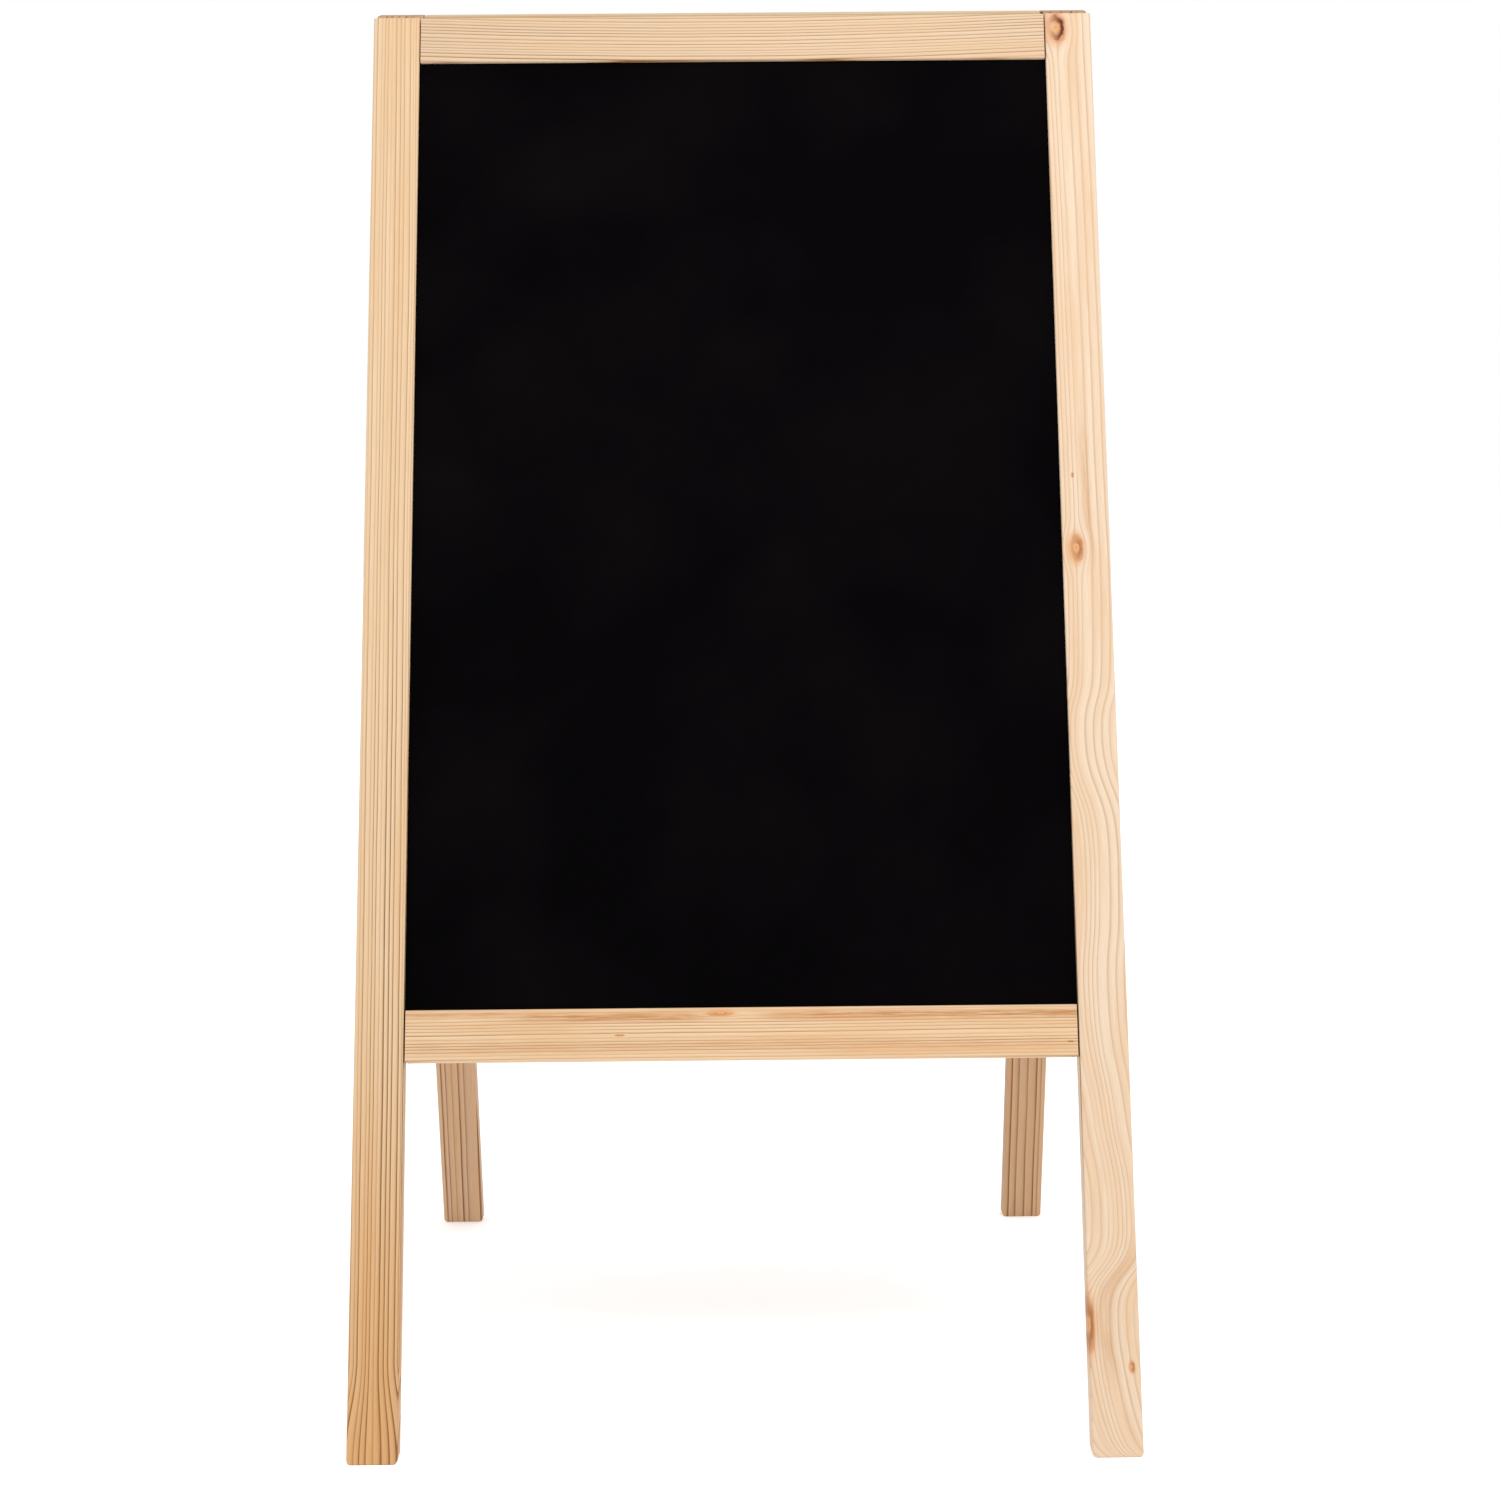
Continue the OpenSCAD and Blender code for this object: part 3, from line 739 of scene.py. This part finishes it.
# painted shade: the earlywood "baa688" is greyed for the shade on this rail's inner face, which shows as a strip above
# the front top rail
pines["rear", "top"] = pine(
    "pine_rear_top", rail_axes("rear", "rear_top_rail"), seed=11.3, pith=(-90, 40), ring=2.8, early="baa688",
    late="b1844e", honey=HONEY)
pines["rear", "bottom"] = pine(
    "pine_rear_bottom", rail_axes("rear", "rear_bottom_rail"), seed=12.6, pith=(30, 45), ring=3.2, early="d0b390",
    late="b1844e", honey=HONEY)

for where, board in {**stiles, **rails}.items():
    board.data.materials.append(pines[where])

# %% [markdown]
# ## Blackboard paint and hardboard
# A panel is a 3 mm sheet of hardboard. Its outer side is sprayed with matt blackboard paint, which swallows nearly all
# light. Old chalk dust makes it a shade paler in soft clouds. Its back is left brown, with the fine flecks of the
# pressed pulp.

# %% Finishes of the panels
CLOUDS_PER_M = 9.0           # clouds of dust about 110 mm wide
FLECKS_PER_M = 700.0         # flecks of pulp about 1.4 mm wide

black, tree, shader = new_material("blackboard_paint", Roughness=0.75, IOR=1.5, Specular_IOR_Level=0.01)
dust = node(tree, "TexNoise", {"Vector": node(tree, "TexCoord", out=OBJECT), "Scale": CLOUDS_PER_M, "Detail": 4.0})
dust = node(tree, "MapRange", [dust, 0.4, 0.75, 0.0, 1.0])
paint = node(tree, "Mix", {0: dust, 6: srgb("040304"), 7: srgb("090708")}, data_type="RGBA", out=2)
tree.links.new(paint, shader.inputs["Base Color"])

brown, tree, shader = new_material("hardboard_back", Roughness=0.7, IOR=1.5, Specular_IOR_Level=0.25)
fleck = node(tree, "TexNoise", {"Vector": node(tree, "TexCoord", out=OBJECT), "Scale": FLECKS_PER_M, "Detail": 3.0})
pulp = node(tree, "Mix", {0: fleck, 6: srgb("6f4a30"), 7: srgb("8d6544")}, data_type="RGBA", out=2)
tree.links.new(pulp, shader.inputs["Base Color"])
print("panel finishes:", black.name, "and", brown.name)

# %% [markdown]
# ## Chalkboard panels
# Each sheet is cut to the size of its CAD piece and its edges are hidden in the grooves. They are only broken, as a
# saw and one stroke of sandpaper leave them.

# %% Make the two panels
PANEL_EDGE_R = 0.3 * MM


def panel(which):
    name = which + "_chalkboard"
    low_z, high_z = along_frame(which, name)
    low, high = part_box(name)
    sheet = block("painted_" + name, (low.x, PANEL_Y, low_z), (high.x, PANEL_Y + PANEL_T, high_z))
    ease(sheet, PANEL_EDGE_R, 2, lambda e: True)
    sheet.data.materials.append(brown)
    sheet.data.materials.append(black)
    pick(sheet, "faces", lambda f: f.normal.y < -0.5)
    sheet.active_material_index = 1
    bpy.ops.object.material_slot_assign()
    place(sheet, which)
    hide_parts(name)
    return sheet


panels = [panel(which) for which in ("front", "rear")]
print("panels:", *(sheet.name for sheet in panels))

# %% [markdown]
# ## Metal and dowel finishes
# The hinges, stays and screws are pressed steel with a thin bright zinc plating, which looks slightly blue. Its
# crystals scatter the highlight unevenly, so the roughness is blotched. Pins, washers and rivets are plain drawn
# steel: greyer and smoother, with scratches along the wire from the die. The dowels are turned beech, warm and plain
# with short dark pores, and stay hidden in the joints.

# %% Finishes of the metalwork and the dowels
BLOTCHES_PER_M = 320.0                   # blotches about 3 mm wide
SCRATCHES_PER_M = (60, 2000, 2000)       # real scratches are finer; these are 0.5 mm wide so that they show
PORES_PER_M = (250, 2500, 2500)          # pores about 4 mm long and 0.4 mm wide

zinc, tree, shader = new_material("zinc_plated_steel", Base_Color=srgb("b9bcc0"), Metallic=1.0)
blotch = node(tree, "TexNoise", {"Vector": node(tree, "TexCoord", out=OBJECT), "Scale": BLOTCHES_PER_M,
                                 "Detail": 2.0})
tree.links.new(node(tree, "MapRange", [blotch, 0.3, 0.7, 0.28, 0.42]), shader.inputs["Roughness"])

steel, tree, shader = new_material("drawn_steel", Base_Color=srgb("a3a5a8"), Metallic=1.0)
along_x = node(tree, "VectorMath", [node(tree, "TexCoord", out=OBJECT), SCRATCHES_PER_M], operation="MULTIPLY")
scratch = node(tree, "TexNoise", {"Vector": along_x, "Scale": 1.0, "Detail": 2.0})
tree.links.new(node(tree, "MapRange", [scratch, 0.3, 0.7, 0.22, 0.38]), shader.inputs["Roughness"])

beech, tree, shader = new_material("beech_dowel", Roughness=0.6)
along_x = node(tree, "VectorMath", [node(tree, "TexCoord", out=OBJECT), PORES_PER_M], operation="MULTIPLY")
pores = node(tree, "TexNoise", {"Vector": along_x, "Scale": 1.0, "Detail": 2.0})
pores = node(tree, "MapRange", [pores, 0.5, 0.7, 0.0, 1.0])
turned = node(tree, "Mix", {0: pores, 6: srgb("d9b48a"), 7: srgb("b0835a")}, data_type="RGBA", out=2)
tree.links.new(turned, shader.inputs["Base Color"])
print("metal and dowel finishes:", zinc.name, steel.name, beech.name)

# %% [markdown]
# ## Metalwork
# The shapes are the CAD's own. Pressed parts are tumbled before plating, which breaks their edges a little, and those
# thin bright lines are what makes metal look like metal. So each piece is copied, its loose triangles are joined, and
# its edges get a narrow bevel. The dowels can't be seen and keep their CAD meshes.

# %% Break the edges of the metalwork
EDGE_R = 0.18 * MM
JOIN_AT = 0.1 * MM           # points nearer than this become one, so that the bevel has room
SLIVER = 0.002 * MM         # the bevel leaves faces thinner than this, which are closed up
FLAT_WITHIN = math.radians(0.5)
EDGE_ANGLE = math.radians(50)
METAL_SMOOTH = math.radians(35)
FINISH = {"plated_steel": zinc, "steel": steel}

body_of = {name: body for body, names in frame["record"]["behaviour"]["bodies"].items() for name in names}
slot_of = {part["node"]: part["material_slot"] for part in frame["record"]["subparts"]}


def copy_of(name):
    """A copy of a CAD piece with a mesh of its own, as the only thing selected."""
    bpy.ops.object.select_all(action="DESELECT")
    piece = bpy.data.objects.new("eased_" + name, frame["nodes"][name].data.copy())
    piece.data.name = piece.name
    bpy.context.collection.objects.link(piece)
    piece.select_set(True)
    bpy.context.view_layer.objects.active = piece
    return piece


def eased(name):
    """A copy of a CAD piece with its triangles joined and its sharp edges broken."""
    piece = copy_of(name)
    bpy.ops.object.mode_set(mode="EDIT")
    bpy.ops.mesh.select_all(action="SELECT")
    bpy.ops.mesh.remove_doubles(threshold=JOIN_AT)
    bpy.ops.mesh.dissolve_limited(angle_limit=FLAT_WITHIN)
    bpy.ops.object.mode_set(mode="OBJECT")
    bevel = piece.modifiers.new("edges", "BEVEL")
    bevel.width, bevel.segments = EDGE_R, 2
    bevel.limit_method, bevel.angle_limit = "ANGLE", EDGE_ANGLE
    bpy.ops.object.modifier_apply(modifier=bevel.name)
    bpy.ops.object.mode_set(mode="EDIT")
    bpy.ops.mesh.select_all(action="SELECT")
    bpy.ops.mesh.dissolve_degenerate(threshold=SLIVER)
    bpy.ops.object.mode_set(mode="OBJECT")
    bpy.ops.object.shade_smooth_by_angle(angle=METAL_SMOOTH)
    piece.data.materials.clear()
    piece.data.materials.append(FINISH[slot_of[name]])
    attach(piece, body_of[name])
    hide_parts(name)
    return piece


metal = [eased(name) for name in sorted(frame["nodes"]) if slot_of[name] in FINISH]
for name, cad_piece in frame["nodes"].items():
    if slot_of[name] == "dowel":
        cad_piece.data.materials.clear()
        cad_piece.data.materials.append(beech)
print(len(metal), "metal pieces,", sum(len(piece.data.polygons) for piece in metal), "faces")

# %% [markdown]
# ## Floor and light
# A white floor and a white sky give the even light of a product table. The floor glows faintly, which keeps it white
# between the legs, where the boards take away much of the sky. One large soft lamp above and to the right of the
# camera gives the timber its shape.

# %% Set the table
FLOOR_W = 40.0
LAMP_AT, LAMP_AIM = Vector((0.45, -1.7, 2.6)), Vector((0, 0, 0.45))
LAMP_W = 1.3
LAMP_WATTS = 34

bpy.ops.object.select_all(action="DESELECT")
bpy.ops.mesh.primitive_plane_add(size=FLOOR_W, location=(0, 0, 0))
floor = bpy.context.object
floor.name = "floor"
white = new_material("white_table", Base_Color=srgb("fdfcfd"), Roughness=0.9, Specular_IOR_Level=0.0,
                     Emission_Color=srgb("ffffff"), Emission_Strength=0.3)[0]
floor.data.materials.append(white)

world = bpy.data.worlds.new("studio")
bpy.context.scene.world = world
world.use_nodes = True
sky = world.node_tree.nodes["Background"]
sky.inputs["Color"].default_value = (1, 1, 1, 1)
sky.inputs["Strength"].default_value = 1.0

bpy.ops.object.light_add(type="AREA", location=LAMP_AT)
lamp = bpy.context.object
lamp.name = "key"
lamp.data.size = LAMP_W
lamp.data.energy = LAMP_WATTS
lamp.rotation_mode = "QUATERNION"
lamp.rotation_quaternion = (LAMP_AIM - LAMP_AT).to_track_quat("-Z", "Y")
print("lamp", round((LAMP_AIM - LAMP_AT).length, 2), "m from the board")

# %% [markdown]
# ## Camera
# It stands 1.8 m in front of the hinges, 0.6 m above the ground, and looks down a little. A slightly long lens keeps
# the uprights nearly parallel.

# %% Place the camera
YAW, PITCH, ROLL = (math.radians(a) for a in (0.309, 5.663, 0.476))
LEFT, BACK, UP = 1.54 * MM, 1.8178, 0.606      # metres from the hinge pins, and above the ground
bpy.ops.object.camera_add(location=(-LEFT, PIN.y - BACK, UP))
camera = bpy.context.object
camera.name = "camera"
camera.data.sensor_width = 36.0
camera.data.lens = 59.44
camera.data.clip_start = 0.05
turn = (Matrix.Rotation(-YAW, 4, "Z") @ Matrix.Rotation(math.pi / 2 - PITCH, 4, "X")
        @ Matrix.Rotation(-ROLL, 4, "Z"))
camera.rotation_mode = "QUATERNION"
camera.rotation_quaternion = turn.to_quaternion()
bpy.context.scene.camera = camera
bpy.context.scene.view_settings.view_transform = "Standard"
print("camera at", [round(c, 3) for c in camera.location])
